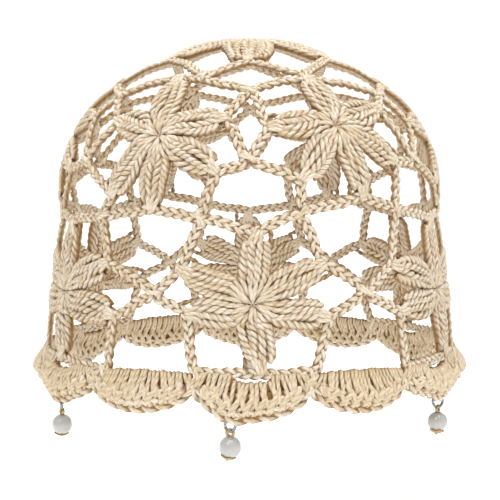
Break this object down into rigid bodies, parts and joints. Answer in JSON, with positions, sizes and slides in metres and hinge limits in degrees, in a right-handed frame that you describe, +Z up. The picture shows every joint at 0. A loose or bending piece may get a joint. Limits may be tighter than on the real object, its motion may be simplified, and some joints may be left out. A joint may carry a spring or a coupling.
{
  "type": "crochet skull cap",
  "caption": "Close-fitting openwork cap of joined crochet flower motifs, with a scalloped shell-stitch edge and small round bead drops",
  "frame": {"origin": "inside of the crown's top, where the cap sits on the head", "axes": "+Z up out of the crown, -Y towards the front of the cap, +X to the wearer's left"},
  "size_m": [0.1848, 0.1873, 0.1623],
  "materials": {
    "cotton_yarn": "undyed plied cotton yarn, crocheted, matte",
    "silver_wire": "silver-coloured plated wire, bright",
    "gold_wire": "gold-coloured wire, satin",
    "pale_stone": "pale grey-green translucent stone, polished"
  },
  "bodies": {
    "root": {"flower_top": "cotton_yarn", "flower_upper_1": "cotton_yarn", "flower_upper_2": "cotton_yarn", "flower_upper_3": "cotton_yarn", "flower_upper_4": "cotton_yarn", "flower_upper_5": "cotton_yarn", "flower_upper_6": "cotton_yarn", "flower_lower_1": "cotton_yarn", "flower_lower_2": "cotton_yarn", "flower_lower_3": "cotton_yarn", "flower_lower_4": "cotton_yarn", "flower_lower_5": "cotton_yarn", "flower_lower_6": "cotton_yarn", "chain_top": "cotton_yarn", "chain_upper_1": "cotton_yarn", "chain_upper_2": "cotton_yarn", "chain_upper_3": "cotton_yarn", "chain_upper_4": "cotton_yarn", "chain_upper_5": "cotton_yarn", "chain_upper_6": "cotton_yarn", "chain_lower_1": "cotton_yarn", "chain_lower_2": "cotton_yarn", "chain_lower_3": "cotton_yarn", "chain_lower_4": "cotton_yarn", "chain_lower_5": "cotton_yarn", "chain_lower_6": "cotton_yarn", "shell_1": "cotton_yarn", "shell_2": "cotton_yarn", "shell_3": "cotton_yarn", "shell_4": "cotton_yarn", "shell_5": "cotton_yarn", "shell_6": "cotton_yarn", "shell_7": "cotton_yarn", "shell_8": "cotton_yarn", "shell_9": "cotton_yarn", "shell_10": "cotton_yarn", "shell_11": "cotton_yarn", "shell_12": "cotton_yarn", "jump_ring_1": "silver_wire", "jump_ring_2": "silver_wire", "jump_ring_3": "silver_wire", "jump_ring_4": "silver_wire", "jump_ring_5": "silver_wire", "jump_ring_6": "silver_wire", "head_pin_1": "gold_wire", "head_pin_2": "gold_wire", "head_pin_3": "gold_wire", "head_pin_4": "gold_wire", "head_pin_5": "gold_wire", "head_pin_6": "gold_wire", "bead_1": "pale_stone", "bead_2": "pale_stone", "bead_3": "pale_stone", "bead_4": "pale_stone", "bead_5": "pale_stone", "bead_6": "pale_stone"}
  },
  "joints": []
}
